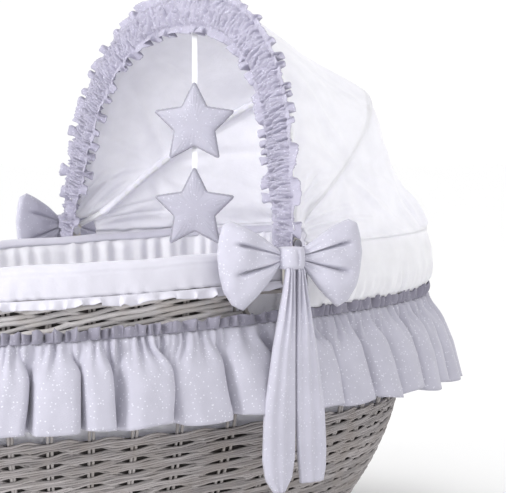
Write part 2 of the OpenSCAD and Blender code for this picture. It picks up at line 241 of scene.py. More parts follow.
def new_material(name, colour, roughness):
    made = bpy.data.materials.new(name)
    made.use_nodes = True
    shader = made.node_tree.nodes["Principled BSDF"]
    shader.inputs["Base Color"].default_value = (*colour, 1)
    shader.inputs["Roughness"].default_value = roughness
    return made, shader


def add(material, kind, **values):
    node = material.node_tree.nodes.new(kind)
    for key, value in values.items():
        if key in node.inputs:
            node.inputs[key].default_value = value
        else:
            setattr(node, key, value)
    return node


def link(material, *pairs):
    for a, b in pairs:
        material.node_tree.links.new(a, b)


def spread(material, source, low, high, to_low=0.0, to_high=1.0):
    """source's range low to high mapped to another."""
    node = add(material, "ShaderNodeMapRange")
    node.inputs["From Min"].default_value = low
    node.inputs["From Max"].default_value = high
    node.inputs["To Min"].default_value = to_low
    node.inputs["To Max"].default_value = to_high
    link(material, (source, node.inputs["Value"]))
    return node.outputs["Result"]


def mixed(material, factor, a, b):
    """Colour a to b by factor. a and b are colours or sockets."""
    node = add(material, "ShaderNodeMix", data_type="RGBA")
    link(material, (factor, node.inputs["Factor"]))
    for value, socket in ((a, node.inputs["A"]), (b, node.inputs["B"])):
        if isinstance(value, tuple):
            socket.default_value = (*value, 1)
        else:
            link(material, (value, socket))
    return node.outputs["Result"]


def bump(material, shader, height, distance, strength=1.0, below=None):
    node = add(material, "ShaderNodeBump")
    node.inputs["Distance"].default_value = distance
    node.inputs["Strength"].default_value = strength
    link(material, (height, node.inputs["Height"]))
    if below is not None:
        link(material, (below, node.inputs["Normal"]))
    link(material, (node.outputs["Normal"], shader.inputs["Normal"]))
    return node.outputs["Normal"]


def cloth_material(name, colour, crease, dots=None, sheen=0.25, thread=0.0007, through=0.0):
    """Plain-weave cotton: crossed threads, slubs, soft creases, and printed dots of random size if asked."""
    made, shader = new_material(name, colour, 0.85)
    shader.inputs["Sheen Weight"].default_value = sheen
    shader.inputs["Sheen Roughness"].default_value = 0.5
    shader.inputs["Specular IOR Level"].default_value = 0.2
    shader.inputs["Subsurface Weight"].default_value = through
    shader.inputs["Subsurface Radius"].default_value = (1.0, 1.0, 1.1)
    shader.inputs["Subsurface Scale"].default_value = 0.006
    place = add(made, "ShaderNodeTexCoord").outputs["Object"]
    cloudy = add(made, "ShaderNodeTexNoise", Scale=28.0, Detail=3.0)
    slub = add(made, "ShaderNodeTexNoise", Scale=420.0, Detail=2.0)
    warp = add(made, "ShaderNodeTexWave", Scale=0.5 / thread / 3, bands_direction="DIAGONAL", Distortion=0.6)
    weft = add(made, "ShaderNodeTexWave", Scale=0.5 / thread / 3, bands_direction="Z", Distortion=0.6)
    link(made, *[(place, node.inputs["Vector"]) for node in (cloudy, slub, warp, weft)])
    dark = tuple(c * 0.93 for c in colour)
    shade = mixed(made, spread(made, cloudy.outputs["Fac"], 0.35, 0.65), dark, colour)
    if dots:
        cells = add(made, "ShaderNodeTexVoronoi", Scale=1 / dots["pitch"], Randomness=1.0)
        link(made, (place, cells.inputs["Vector"]))
        size = dots["radius"] / dots["pitch"]
        edge = spread(made, cells.outputs["Distance"], size * 1.15, size * 0.8)
        shade = mixed(made, edge, shade, dots["colour"])
    link(made, (shade, shader.inputs["Base Color"]))
    threads = add(made, "ShaderNodeMath", operation="ADD")
    link(made, (warp.outputs["Fac"], threads.inputs[0]), (weft.outputs["Fac"], threads.inputs[1]))
    first = bump(made, shader, cloudy.outputs["Fac"], crease)
    second = bump(made, shader, slub.outputs["Fac"], 0.0004, 0.6, first)
    bump(made, shader, threads.outputs[0], 0.00012, 0.5, second)
    return made


def willow_material(name, colour, spread_by=0.16):
    """Grey-washed willow rods: each its own shade, with bark streaks and worn lighter patches."""
    made, shader = new_material(name, colour, 0.62)
    shader.inputs["Specular IOR Level"].default_value = 0.3
    place = add(made, "ShaderNodeTexCoord").outputs["Object"]
    rod = add(made, "ShaderNodeNewGeometry").outputs["Random Per Island"]
    grain = add(made, "ShaderNodeTexNoise", Scale=260.0, Detail=4.0, Roughness=0.7)
    patch = add(made, "ShaderNodeTexNoise", Scale=32.0, Detail=3.0)
    link(made, (place, grain.inputs["Vector"]), (place, patch.inputs["Vector"]))
    dark = tuple(c * (1 - spread_by) for c in colour)
    warm = (colour[0] * 0.93, colour[1] * 0.90, colour[2] * 0.86)
    pale = tuple(min(1, c * (1 + spread_by)) for c in colour)
    shade = mixed(made, rod, dark, pale)
    shade = mixed(made, spread(made, patch.outputs["Fac"], 0.45, 0.72), shade, warm)
    shade = mixed(made, spread(made, grain.outputs["Fac"], 0.55, 0.8, 0, 0.5), shade, dark)
    link(made, (shade, shader.inputs["Base Color"]))
    bump(made, shader, grain.outputs["Fac"], 0.0005, 0.7)
    return made


def hard_material(name, colour, roughness, metallic=0.0, grain=900.0):
    """Moulded plastic or plated steel, with fine unevenness and faint scuffs."""
    made, shader = new_material(name, colour, roughness)
    shader.inputs["Metallic"].default_value = metallic
    place = add(made, "ShaderNodeTexCoord").outputs["Object"]
    fine = add(made, "ShaderNodeTexNoise", Scale=grain, Detail=2.0)
    scuff = add(made, "ShaderNodeTexNoise", Scale=90.0, Detail=5.0, Roughness=0.7)
    link(made, (place, fine.inputs["Vector"]), (place, scuff.inputs["Vector"]))
    worn = tuple(c * 0.9 for c in colour)
    shade = mixed(made, spread(made, scuff.outputs["Fac"], 0.5, 0.75), colour, worn)
    link(made, (shade, shader.inputs["Base Color"]))
    link(made, (spread(made, scuff.outputs["Fac"], 0.3, 0.8, roughness - 0.08, roughness + 0.12),
                shader.inputs["Roughness"]))
    bump(made, shader, fine.outputs["Fac"], 0.00015, 0.5)
    return made


LAVENDER = (0.575, 0.565, 0.66)
WHITE = (0.86, 0.852, 0.935)
DOT_PITCH = 0.0050
DOT_R = 0.00095


def lavender(share):
    return tuple(c * share for c in LAVENDER)


def spotted_material(name, colour, crease, dot_colour):
    dots = {"pitch": DOT_PITCH, "radius": DOT_R, "colour": dot_colour}
    return cloth_material(name, colour, crease, dots)



WILLOW = willow_material("willow", (0.585, 0.56, 0.565), 0.22)
# A darker copy of the same willow for the lower basket: painted shade below the skirt.
WILLOW_LOW_SHADED = willow_material("willow_lower_painted_shade", (0.365, 0.34, 0.34), 0.28)
# Near-black willow for the sheet behind the weave: painted shade in the weave's gaps.
WILLOW_SHADE = willow_material("willow_painted_shade", (0.09, 0.08, 0.078))
WILLOW_DARK = willow_material("willow_shaded", (0.40, 0.375, 0.37))
WHITE_COTTON = cloth_material("white_cotton", WHITE, 0.0016, through=0.6)
LINER_COTTON = cloth_material("liner_cotton", (0.90, 0.893, 0.955), 0.0008, through=0.3)
# A greyer copy of the lining's white cotton for the cuff and its frill: painted shade that holds down the
# strong light on the rim.
CUFF_COTTON_SHADED = cloth_material("cuff_cotton_painted_shade", (0.63, 0.62, 0.695), 0.0010)
SPOTTED = spotted_material("spotted_cotton", lavender(0.84), 0.0014, (0.62, 0.62, 0.69))
# A darker copy of the spotted cotton, dots too, for the hood's trim: painted shade for deep ruching that the
# mesh doesn't have.
SPOTTED_FOLD_SHADE = spotted_material("spotted_cotton_fold_shade", (0.415, 0.400, 0.495), 0.0016, (0.55, 0.545, 0.64))
SPOTTED_SKIRT = spotted_material("spotted_cotton_skirt", lavender(0.82), 0.0018, (0.64, 0.64, 0.71))
SPOTTED_BOW = spotted_material("spotted_cotton_bow", lavender(0.88), 0.0020, (0.63, 0.63, 0.70))
# A much darker copy of the spotted cotton, dots too, for the skirt's heading: painted shade in its tight
# ruching.
HEADING_SHADED = spotted_material("spotted_cotton_heading_painted_shade", (0.26, 0.25, 0.31), 0.0016, (0.34, 0.335, 0.40))
# A darker lavender for the stars' raised edges: painted shade round their outline.
STAR_EDGE_SHADE = cloth_material("star_edge_painted_shade", lavender(0.62), 0.0004)
RIBBON = cloth_material("satin_ribbon", (0.92, 0.92, 0.95), 0.0003, sheen=0.6)
QUILT = cloth_material("mattress_cotton", (0.90, 0.90, 0.92), 0.0010)
FOAM = cloth_material("foam", (0.86, 0.80, 0.62), 0.0008)
ELASTIC = cloth_material("elastic", (0.85, 0.85, 0.88), 0.0004, thread=0.0012)
IVORY = hard_material("ivory_plastic", (0.66, 0.63, 0.57), 0.45)
ROD_PLASTIC = hard_material("hoop_plastic", (0.80, 0.80, 0.82), 0.30)
STEEL = hard_material("plated_steel", (0.55, 0.55, 0.56), 0.32, 1.0)

CAD_LOOKS = {
    WILLOW: ("foot_border", "base_sticks", "base_mat", "lower_weave", "upper_weave", "rim_border"),
    WILLOW_DARK: ("stakes", "grip_binding_near", "grip_binding_far"),
    LINER_COTTON: ("liner_floor", "liner_wall", "liner_cuff", "liner_frill"),
    ELASTIC: ("skirt_elastic",),
    IVORY: ("hood_bracket_near", "hood_bracket_far", "rear_hoop_ends", "front_hoop_ends"),
    STEEL: ("bracket_nuts", "bracket_screws", "pivot_pin_near", "pivot_pin_far"),
    ROD_PLASTIC: ("rear_hoop", "front_hoop"),
    RIBBON: ("ribbon_tab", "star_ribbon"),
    FOAM: ("mattress_core",),
}
for look, names in CAD_LOOKS.items():
    for node_name in names:
        mesh = frame["nodes"][node_name].data
        mesh.materials.clear()
        mesh.materials.append(look)


# ---- Wicker ----

def drop_table(low, high):
    """Lengths down the wall's face, and the drops there."""
    drops = np.linspace(low, high, 200)
    steps = np.hypot(np.diff(drops), np.diff(wall_in(drops)))
    return np.concatenate([[0], np.cumsum(steps)]), drops


def hand_hole(points, margin=0.004):
    """Whether points are in the two hand holes, with a margin."""
    mid = Vector(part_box("grip_binding_near")[0]).lerp(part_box("grip_binding_near")[1], 0.5)
    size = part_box("grip_binding_near")[1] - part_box("grip_binding_near")[0]
    high = size.z / 2 + margin
    flat = size.x / 2 - size.z / 2
    dx = np.maximum(0, np.abs(points[..., 0] - mid.x) - flat)
    return (np.hypot(dx, points[..., 2] - mid.z) < high) & (np.abs(points[..., 1]) > 0.15)


def waling(low, high, pitch, strands, rod_r, per_gap=6, slant=0.40, squeeze=0.2, holes=False):
    """Rows of three weavers. Each passes in front of two stakes and behind the next, rising as it goes."""
    lengths, drops = drop_table(low, high)
    rows = int(round(lengths[-1] / pitch))
    pitch = lengths[-1] / rows
    s = np.arange(STAKES * per_gap) / per_gap
    turn = s / STAKES
    paths, ups, radii = [], [], []
    for row in range(rows):
        wander = 0.0007 * ripple(turn, 8, 40)
        for weaver in range(3):
            t = (s - weaver - row) % 3
            behind = smooth(1 - np.abs((t - 2.5 + 1.5) % 3 - 1.5) / 0.62)
            rise = np.where(t < 2, t - 1, 1 - 2 * (t - 2)) * slant * pitch
            for strand in range(strands):
                thin = rod_r * (0.92 + 0.16 * rng.random())
                shift = (strand - (strands - 1) / 2) * 2.05 * rod_r
                down = (row + 0.5) * pitch - rise + shift * (1 - 0.25 * behind) + wander
                down = down + 0.0004 * ripple(turn, 20, 60)
                middle = (row + 0.5) * pitch
                down = middle + (down - middle) * (1 - squeeze * np.sin(math.pi * s) ** 4)
                drop = np.interp(down, lengths, drops)
                out = WALL_MID + lerp(rod_r + 0.0012, -rod_r - 0.0012, behind) + 0.0004 * ripple(turn, 20, 60)
                paths.append(on_wall(wall_in(drop) + out, drop, turn))
                ups.append(on_wall(wall_in(drop) + out + 0.01, drop, turn) - paths[-1])
                radii.append(thin * (1 + 0.05 * ripple(turn, 3, 9)))
    paths, ups, radii = np.array(paths), np.array(ups), np.array(radii)
    keep = ~hand_hole(paths) if holes else None
    return tubes(paths, ups, radii, 6, True, keep)


def upper_band():
    points, faces = waling(0.027, OPEN_TOP, 0.0163, 1, 0.0034, slant=0.45, squeeze=0.14, holes=True)
    made = piece("upper_band", points, faces, WILLOW, "wicker")
    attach(made, "basket")
    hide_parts("upper_weave")


def lower_basket():
    points, faces = waling(OPEN_LOW, 0.394, 0.0166, 2, 0.00178, slant=0.42, squeeze=0.34)
    made = piece("lower_basket", points, faces, WILLOW_LOW_SHADED, "wicker")
    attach(made, "basket")
    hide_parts("lower_weave")


def weave_shade_sheet():
    """A dark sheet just inside the weave: painted shade, seen only through the weave's gaps."""
    parts = []
    for low, high in ((0.030, OPEN_TOP - 0.003), (OPEN_LOW + 0.003, 0.392)):
        turn = (np.arange(STAKES * 8) / (STAKES * 8))[:, None]
        drop = np.linspace(low, high, 12)[None]
        points = on_wall(wall_in(drop) - 0.0088 + 0.0004 * np.cos(math.pi * 2 * STAKES * turn), drop, turn)
        n, m = points.shape[:2]
        faces = quads(n, m, True)
        faces = faces[~hand_hole(points, 0.010).reshape(-1)[faces].any(1)]
        parts.append((points.reshape(-1, 3), faces.tolist()))
    made = piece("weave_shade_sheet", *joined(parts), WILLOW_SHADE, "wicker_dark")
    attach(thicken(made, 0.0006), "basket")


def stake_rods():
    drops = np.concatenate([[0.027], np.linspace(0.05, 0.235, 8), np.linspace(0.25, 0.394, 10)])
    paths, ups = [], []
    for k in range(STAKES):
        for side in (-1, 1):
            turn = (k + 0.5) / STAKES + side * 0.00117
            lean = 0.0006 * math.sin(k * 2.3 + side)
            paths.append(on_wall(wall_in(drops) + WALL_MID, drops, turn + lean * (drops - 0.2) / 0.2))
            ups.append(on_wall(wall_in(drops) + WALL_MID + 0.01, drops, turn) - paths[-1])
    paths, ups = np.array(paths), np.array(ups)
    in_hole = hand_hole(paths, 0.006).any(1)
    points, faces = tubes(paths[~in_hole], ups[~in_hole], 0.0022, 6, False)
    short = paths[in_hole][:, 4:], ups[in_hole][:, 4:]
    parts = [(points, faces), tubes(*short, 0.0022, 6, False)]
    made = piece("stake_rods", *joined(parts), WILLOW_DARK, "wicker_dark")
    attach(made, "basket")
    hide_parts("stakes")


def foot_rope():
    """Two ropes of three twisted rods, side by side, that the base stands on."""
    strand_r = 0.0034
    twist_r = 0.0033
    stations = 480
    turn = np.arange(stations) / stations
    paths, ups = [], []
    for rope, out in enumerate((-0.1148, -0.1258)):
        for strand in range(3):
            angle = 2 * math.pi * (46 * turn * (1 if rope else -1) + strand / 3)
            flat = on_wall(out + twist_r * np.cos(angle) * 0.7, 0.38, turn)
            flat[:, 2] = 0.0069 + twist_r * np.sin(angle)
            paths.append(flat)
            up = np.zeros_like(flat)
            up[:, 2] = 1
            ups.append(up)
    points, faces = tubes(np.array(paths), np.array(ups), strand_r)
    made = piece("foot_rope", points, faces, WILLOW, "wicker")
    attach(made, "basket")
    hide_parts("foot_border")


def grip_wrap(name, node):
    """Cane wrapped closely round the edge of a hand hole."""
    low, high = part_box(node)
    mid = (low + high) / 2
    tall = (high.z - low.z) / 2 - 0.0023
    flat = (high.x - low.x) / 2 - 0.0023 - tall
    deep = (high.y - low.y) / 2
    turns = 96
    stations = turns * 10
    length = 4 * flat + 2 * math.pi * tall
    along = np.arange(stations) / stations * length
    corner = math.pi * tall
    places = []
    for a in along:
        if a < 2 * flat:
            places.append((-flat + a, tall, 0, 1))
        elif a < 2 * flat + corner:
            w = math.pi / 2 - (a - 2 * flat) / tall
            places.append((flat + tall * math.cos(w), tall * math.sin(w), math.cos(w), math.sin(w)))
        elif a < 4 * flat + corner:
            places.append((flat - (a - 2 * flat - corner), -tall, 0, -1))
        else:
            w = -math.pi / 2 - (a - 4 * flat - corner) / tall
            places.append((-flat + tall * math.cos(w), tall * math.sin(w), math.cos(w), math.sin(w)))
    places = np.array(places)
    coil = 2 * math.pi * turns * np.arange(stations) / stations
    reach = 0.0017 * np.cos(coil)
    path = np.stack([
        mid.x + places[:, 0] + places[:, 2] * reach,
        mid.y + (deep - 0.001) * np.sin(coil),
        mid.z + places[:, 1] + places[:, 3] * reach], -1)
    up = np.stack([places[:, 2] * np.cos(coil), np.sin(coil), places[:, 3] * np.cos(coil)], -1)
    points, faces = tubes(path[None], up[None], 0.0013, 5)
    made = piece(name, points, faces, WILLOW_DARK, "wicker_dark")
    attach(made, "basket")


upper_band()
lower_basket()
weave_shade_sheet()
stake_rods()
foot_rope()
grip_wrap("grip_wrap_near", "grip_binding_near")
grip_wrap("grip_wrap_far", "grip_binding_far")


# ---- Liner ----

def liner_bag():
    """The gathered lining of the inside, from under the cuff down to its floor."""
    n = 1100
    turn = (np.arange(n) / n)[:, None]
    drops = np.concatenate([np.linspace(0.0085, 0.10, 18), np.linspace(0.115, 0.380, 16)])[None]
    gathers = ripple(turn, 95, 150, 8) + 0.6 * ripple(turn, 30, 70, 5)
    broad = ripple(turn, 20, 50, 6)
    fade = 1 - smooth((drops - 0.03) / 0.12)
    depth = (0.0019 * gathers * (0.25 + 0.75 * fade) + 0.0016 * broad) * smooth((drops - 0.006) / 0.012)
    lip = 0.0045 * (1 - smooth((drops - 0.0085) / 0.012))
    out = liner_in(drops) - 0.0058 + np.clip(depth, -0.007, 0.0045) + lip
    made = sheet_piece("liner_bag", on_wall(out, drops, turn), LINER_COTTON, "white_cotton", 0.0012, True)
    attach(made, "basket")
    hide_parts("liner_wall")


def cuff():
    """The smooth lining turned over the rim, with a stitched roll along its top."""
    n = 900
    turn = (np.arange(n) / n)[:, None]
    section = np.array([
        (-0.0186, 0.0110), (-0.0172, 0.0075), (-0.0135, 0.0040),
        (-0.0095, 0.0019), (-0.0050, 0.0012), (-0.0005, 0.0014), (0.0035, 0.0028), (0.0068, 0.0055),
        (0.0086, 0.0085), (0.0090, 0.0100), (0.0086, 0.0113), (0.0094, 0.0130), (0.0098, 0.0170),
        (0.0098, 0.022),
        (0.0097, 0.027), (0.0096, 0.032), (0.0095, 0.037), (0.0092, 0.0418)])
    down = np.linspace(0, 1, len(section))[None]
    out, drop = section[:, 0][None], section[:, 1][None]
    pucker = 0.0005 * ripple(turn, 60, 110, 8) + 0.0005 * ripple(turn, 20, 45)
    hang = smooth((down - 0.62) / 0.2)
    gather = 0.0007 * ripple(turn, 110, 170, 8) * smooth((down - 0.85) / 0.15)
    points = on_wall(out + pucker * hang + gather, drop + 0.0006 * ripple(turn, 10, 30), turn)
    made = sheet_piece("cuff", points, CUFF_COTTON_SHADED, "white_cotton", 0.0016, True)
    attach(made, "basket")
    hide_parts("liner_cuff")


def cuff_frill():
    """The narrow frill along the cuff's lower edge."""
    n = 2000
    turn = (np.arange(n) / n)[:, None]
    down = np.linspace(0, 1, 9)[None]
    wave = 0.8 * ripple(turn, 60, 95, 5) + 0.8 * ripple(turn, 120, 190, 5)
    curl = ripple(turn, 90, 150, 5)
    lift = ripple(turn, 14, 40, 6)
    out = 0.0105 + 0.0022 * down + 0.0050 * wave * down ** 1.1
    drop = 0.0420 + (0.0118 + 0.0028 * lift - 0.0034 * np.maximum(0, wave)) * down
    made_turn = turn + 0.0011 * curl * down
    points = on_wall(np.maximum(out, 0.0035), drop, made_turn)
    made = sheet_piece("cuff_frill", points, CUFF_COTTON_SHADED, "white_cotton", 0.0009, True)
    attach(made, "basket")
    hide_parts("liner_frill")


liner_bag()
cuff()
cuff_frill()


# ---- Skirt ----

PLEATS = 47


def pleated_skirt():
    """Wide soft pleats. Each comes forward slowly and then doubles back under the next one."""
    samples = 30
    rows = 26
    widths = 1 + 0.5 * (rng.random(PLEATS) - 0.5)
    edges = np.concatenate([[0], np.cumsum(widths)]) / widths.sum()
    u = np.arange(samples) / samples
    q = np.linspace(0, 1, rows)[None]
    # How far along the pleat, and how far forward, at even steps of its cloth.
    steps = np.array([0, 0.10, 0.20, 0.32, 0.46, 0.62, 0.78, 0.88, 0.95, 1.0])
    ahead = np.array([-0.02, 0.06, 0.15, 0.24, 0.34, 0.58, 0.90, 1.12, 1.17, 0.98])
    forward = np.array([0.0, 0.04, 0.16, 0.52, 0.86, 1.0, 1.0, 0.97, 0.55, 0.0])
    all_turn, all_out = [], []
    for k in range(PLEATS):
        width = edges[k + 1] - edges[k]
        sway = 0.10 * math.sin(2 * math.pi * rng.random())
        kink = 0.16 * (rng.random() - 0.5)
        deep = 0.75 + 0.45 * rng.random()
        plain = u[:, None]
        shaped = np.interp(u, steps, ahead)[:, None]
        opened = smooth(q / 0.42) * deep
        bend = kink * np.sin(math.pi * np.clip((q - 0.1) / 0.8, 0, 1)) + sway * q * 0.5
        place = lerp(plain, shaped, np.clip(opened, 0, 1)) + bend
        rise = np.interp(u, steps, forward)[:, None]
        all_turn.append(edges[k] + width * place)
        all_out.append(np.clip(opened, 0, 1.15) * (rise - 0.5))
    turn = np.concatenate(all_turn)
    out = np.concatenate(all_out)
    runs = [np.linspace(edges[k], edges[k + 1], samples, endpoint=False) for k in range(PLEATS)]
    even = np.concatenate(runs)[:, None]
    turn = lerp(even, turn, smooth(q / 0.3))
    out = (np.roll(out, 1, 0) + 2 * out + np.roll(out, -1, 0)) / 4
    fine = ripple(even, 180, 300, 8) * 0.0026 + ripple(even, 90, 160, 6) * 0.0030
    gathers = 1.35 * fine * (1 - smooth(q / 0.50)) * smooth(q / 0.04 + 0.25)
    stand = np.interp(q, [0, 0.25, 0.6, 1], [0.0115, 0.0200, 0.0310, 0.0395])
    depth = np.interp(q, [0, 0.2, 0.6, 1], [0.008, 0.025, 0.034, 0.037])
    limp = (0.0016 * ripple(even, 40, 110, 6) + 0.007 * np.clip(np.cos(2 * math.pi * even), 0, 1)) * q
    points = on_wall(
        stand + depth * out + gathers + limp,
        lerp(SKIRT_LINE - 0.001, SKIRT_HEM - 0.001, q) + 0.0022 * ripple(even, 12, 40) * q ** 2, turn)
    made = sheet_piece("pleated_skirt", points, SPOTTED_SKIRT, "spotted_cotton", 0.0011, True)
    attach(made, "basket")
    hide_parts("skirt_valance")


def ruched_heading():
    """The small frill that stands above the skirt's gathering line."""
    n = 3200
    turn = (np.arange(n) / n)[:, None]
    up = np.linspace(0, 1, 9)[None]
    wave = ripple(turn, 75, 125, 6)
    fold = np.sin(2 * math.pi * 176 * turn + 3.4 * ripple(turn, 6, 50))
    fine = ripple(turn, 190, 290, 6)
    grow = np.sin(math.pi * np.clip(up * 0.62 + 0.05, 0, 1)) ** 0.8
    pinch = np.exp(-((fold + 1) / 0.35) ** 2)
    out = 0.0140 + (0.0030 * fold - 0.0034 * pinch + 0.0030 * wave + 0.0022 * fine) * grow
    tall = 0.0142 + 0.0022 * wave - 0.0010 * pinch + 0.0014 * fine
    curled = turn + 0.0008 * np.cos(2 * math.pi * 176 * turn + 2.0) * up
    points = on_wall(out, SKIRT_LINE - 0.0005 - tall * up, curled)
    made = sheet_piece("ruched_heading", points, HEADING_SHADED, "spotted_cotton", 0.0009, True)
    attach(made, "basket")
    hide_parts("skirt_heading")


pleated_skirt()
ruched_heading()


# ---- Hood ----

def arch(hoop, t, grow=0.0):
    """A point of a hoop in its own plane: across, and up."""
    up = (hoop["r"] + grow) * np.sin(t) ** (2 / HOOP_E)
    splay = (hoop["eye"] - hoop["hw"]) / (1 + (up / 0.032) ** 4)
    return np.stack([(hoop["hw"] + grow) * squared(np.cos(t), HOOP_E) + np.sign(np.cos(t)) * splay, up], -1)


def in_space(hoop, flat, ahead):
    lean = hoop["lean"]
    return np.stack([
        PIVOT.x + flat[..., 1] * math.sin(lean) + ahead * math.cos(lean),
        flat[..., 0],
        PIVOT.z + flat[..., 1] * math.cos(lean) - ahead * math.sin(lean)], -1)


def over_hoop(hoop, out, u, ahead, foot=CLOTH_FOOT):
    """Points over a hoop, so far outside its rod. u runs from the far side's foot to the near side's."""
    start = math.asin((foot / hoop["r"]) ** (HOOP_E / 2))
    t = start + (math.pi - 2 * start) * (u - 0.075 * np.sin(2 * math.pi * u))
    way = arch(hoop, t + 0.003) - arch(hoop, t - 0.003)
    way = np.stack([way[..., 1], -way[..., 0]], -1)
    way /= np.linalg.norm(way, axis=-1, keepdims=True)
    return in_space(hoop, arch(hoop, t) + out * way, ahead)


def outward(points):
    """Directions square to a grid of points, away from the hood's pivots."""
    square = np.cross(np.gradient(points, axis=0), np.gradient(points, axis=1))
    square /= np.linalg.norm(square, axis=-1, keepdims=True)
    away = points - np.array([PIVOT.x + 0.10, 0, PIVOT.z])
    return square * np.sign((square * away).sum(-1, keepdims=True))


def creases(a, b, lines):
    """Heights of ridges and dips along lines (a0, b0, a1, b1, width, height) over a flat sheet a by b."""
    total = np.zeros(np.broadcast(a, b).shape)
    for a0, b0, a1, b1, width, height in lines:
        da, db = a1 - a0, b1 - b0
        along = np.clip(((a - a0) * da + (b - b0) * db) / (da * da + db * db), 0, 1)
        gap = np.hypot(a - a0 - along * da, b - b0 - along * db)
        ends = np.sin(math.pi * np.clip(0.08 + 0.84 * along, 0, 1)) ** 0.7
        total += height * ends * np.exp(-(gap / width) ** 2)
    return total


HOOD_SPAN = 0.92         # length of the hood's cloth over its hoops


def both_halves(lines):
    """Crease lines for the hood's near half and, mirrored, its far half, each line a little different."""
    made = []
    for mirror in (False, True):
        for a0, b0, a1, b1, width, height in lines:
            if mirror:
                a0, a1 = HOOD_SPAN - a0, HOOD_SPAN - a1
            width = width * (0.8 + 0.4 * rng.random())
            made.append((a0, b0, a1, b1, width, height * (0.7 + 0.6 * rng.random())))
    return made


def hood_front():
    """The panel between the two hoops."""
    n, m = 190, 52
    u = np.linspace(0, 1, n)[:, None]
    v = np.linspace(0, 1, m)[None]
    near = over_hoop(FRONT, CLOTH_OUT + 0.001, u, -0.0095, 0.016)
    far = over_hoop(REAR, CLOTH_OUT + 0.0012, u, 0.0035)
    points = near + (far - near) * v[..., None]
    a, b = u * HOOD_SPAN + 0 * v, v * 0.25 + 0 * u
    lines = both_halves([
        (0.735, 0.25, 0.64, 0.05, 0.010, 0.0030), (0.750, 0.25, 0.74, 0.04, 0.008, 0.0028),
        (0.755, 0.245, 0.80, 0.05, 0.010, 0.0030), (0.765, 0.25, 0.86, 0.07, 0.012, 0.0034),
        (0.62, 0.035, 0.84, 0.060, 0.014, -0.0042), (0.90, 0.16, 0.80, 0.22, 0.012, 0.0030),
        (0.915, 0.05, 0.80, 0.12, 0.009, 0.0032), (0.905, 0.10, 0.79, 0.165, 0.009, -0.0030),
        (0.60, 0.06, 0.66, 0.22, 0.016, 0.0022), (0.52, 0.10, 0.60, 0.24, 0.020, -0.0022)])
    seams = [(0.575, -0.01, 0.600, 0.27, 0.0030, 0.0022), (0.345, -0.01, 0.320, 0.27, 0.0030, 0.0022),
             (0.585, -0.01, 0.610, 0.27, 0.0025, -0.0012), (0.335, -0.01, 0.310, 0.27, 0.0025, -0.0012)]
    taut = -0.0050 * np.sin(math.pi * v) * np.sin(math.pi * u) ** 0.5
    taut = taut + 0.0075 * np.exp(-((u - 0.5) / 0.035) ** 2) * np.sin(math.pi * v)
    free = smooth(v / 0.12) * smooth((1 - v) / 0.10)
    soft = 0.0024 * bumps(a, b, 8)
    stitched = -0.0012 * (np.exp(-((v - 0.955) / 0.012) ** 2) + np.exp(-((v - 0.05) / 0.012) ** 2))
    height = taut + (1.5 * creases(a, b, lines) + soft) * free + creases(a, b, seams) * free + stitched
    points = points + outward(points) * height[..., None]
    made = sheet_piece("hood_front", points, WHITE_COTTON, "white_cotton", 0.0013)
    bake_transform(made)
    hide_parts("hood_front_panel")


def rear_casing():
    """The sleeve sewn inside the hood round its rear hoop."""
    n = 260
    u = np.linspace(0.015, 0.985, n)
    path = over_hoop(REAR, 0.0012, u, 0.0)
    up = over_hoop(REAR, 0.01, u, 0.0) - path
    pucker = 0.0055 + 0.0003 * bumps(u, 0, 60)
    points, faces = tubes(path[None], up[None], pucker[None], 14, False)
    made = piece("rear_hoop_casing", points, faces, WHITE_COTTON, "white_cotton")
    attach(made, "rear_bow")


def hood_rear():
    """The panel from the rear hoop down to the basket's rim."""
    n, m = 200, 60
    u = np.linspace(0, 1, n)[:, None]
    v = np.linspace(0, 1, m)[None]
    top = over_hoop(REAR, CLOTH_OUT - 0.0002, u, 0.0)
    foot = on_wall(0.0143, -0.0015, APRON_TURN * (1 - 2 * u))
    points = top + (foot - top) * v[..., None]
    a, b = u * HOOD_SPAN + 0 * v, v * 0.30 + 0 * u
    bulge = -0.0080 * np.sin(math.pi * v ** 1.25) * np.sin(math.pi * u) ** 0.4
    lines = both_halves([
        (0.760, 0.01, 0.66, 0.20, 0.012, 0.0036), (0.765, 0.01, 0.735, 0.24, 0.010, 0.0030),
        (0.775, 0.01, 0.82, 0.20, 0.009, 0.0028), (0.755, 0.015, 0.58, 0.12, 0.012, 0.0026),
        (0.600, 0.20, 0.62, 0.31, 0.011, 0.0045), (0.640, 0.19, 0.655, 0.31, 0.009, -0.0040),
        (0.680, 0.20, 0.69, 0.31, 0.008, 0.0036), (0.560, 0.22, 0.565, 0.31, 0.010, -0.0036),
        (0.500, 0.20, 0.505, 0.31, 0.010, 0.0036), (0.900, 0.04, 0.80, 0.12, 0.010, 0.0032),
        (0.905, 0.10, 0.79, 0.20, 0.009, 0.0030)])
    free = smooth(v / 0.10) * smooth((1 - v) / 0.04)
    soft = 0.0026 * bumps(a, b, 8)
    gathers = 0.0016 * bumps(a, b * 0.1, 45) * smooth((v - 0.80) / 0.2) * smooth((1 - v) / 0.03)
    stitched = -0.0012 * np.exp(-((v - 0.045) / 0.010) ** 2)
    height = bulge + (1.5 * creases(a, b, lines) + soft) * free + gathers + stitched
    points = points + outward(points) * height[..., None]
    made = sheet_piece("hood_rear", points, WHITE_COTTON, "white_cotton", 0.0013)
    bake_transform(made)
    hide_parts("hood_rear_panel")


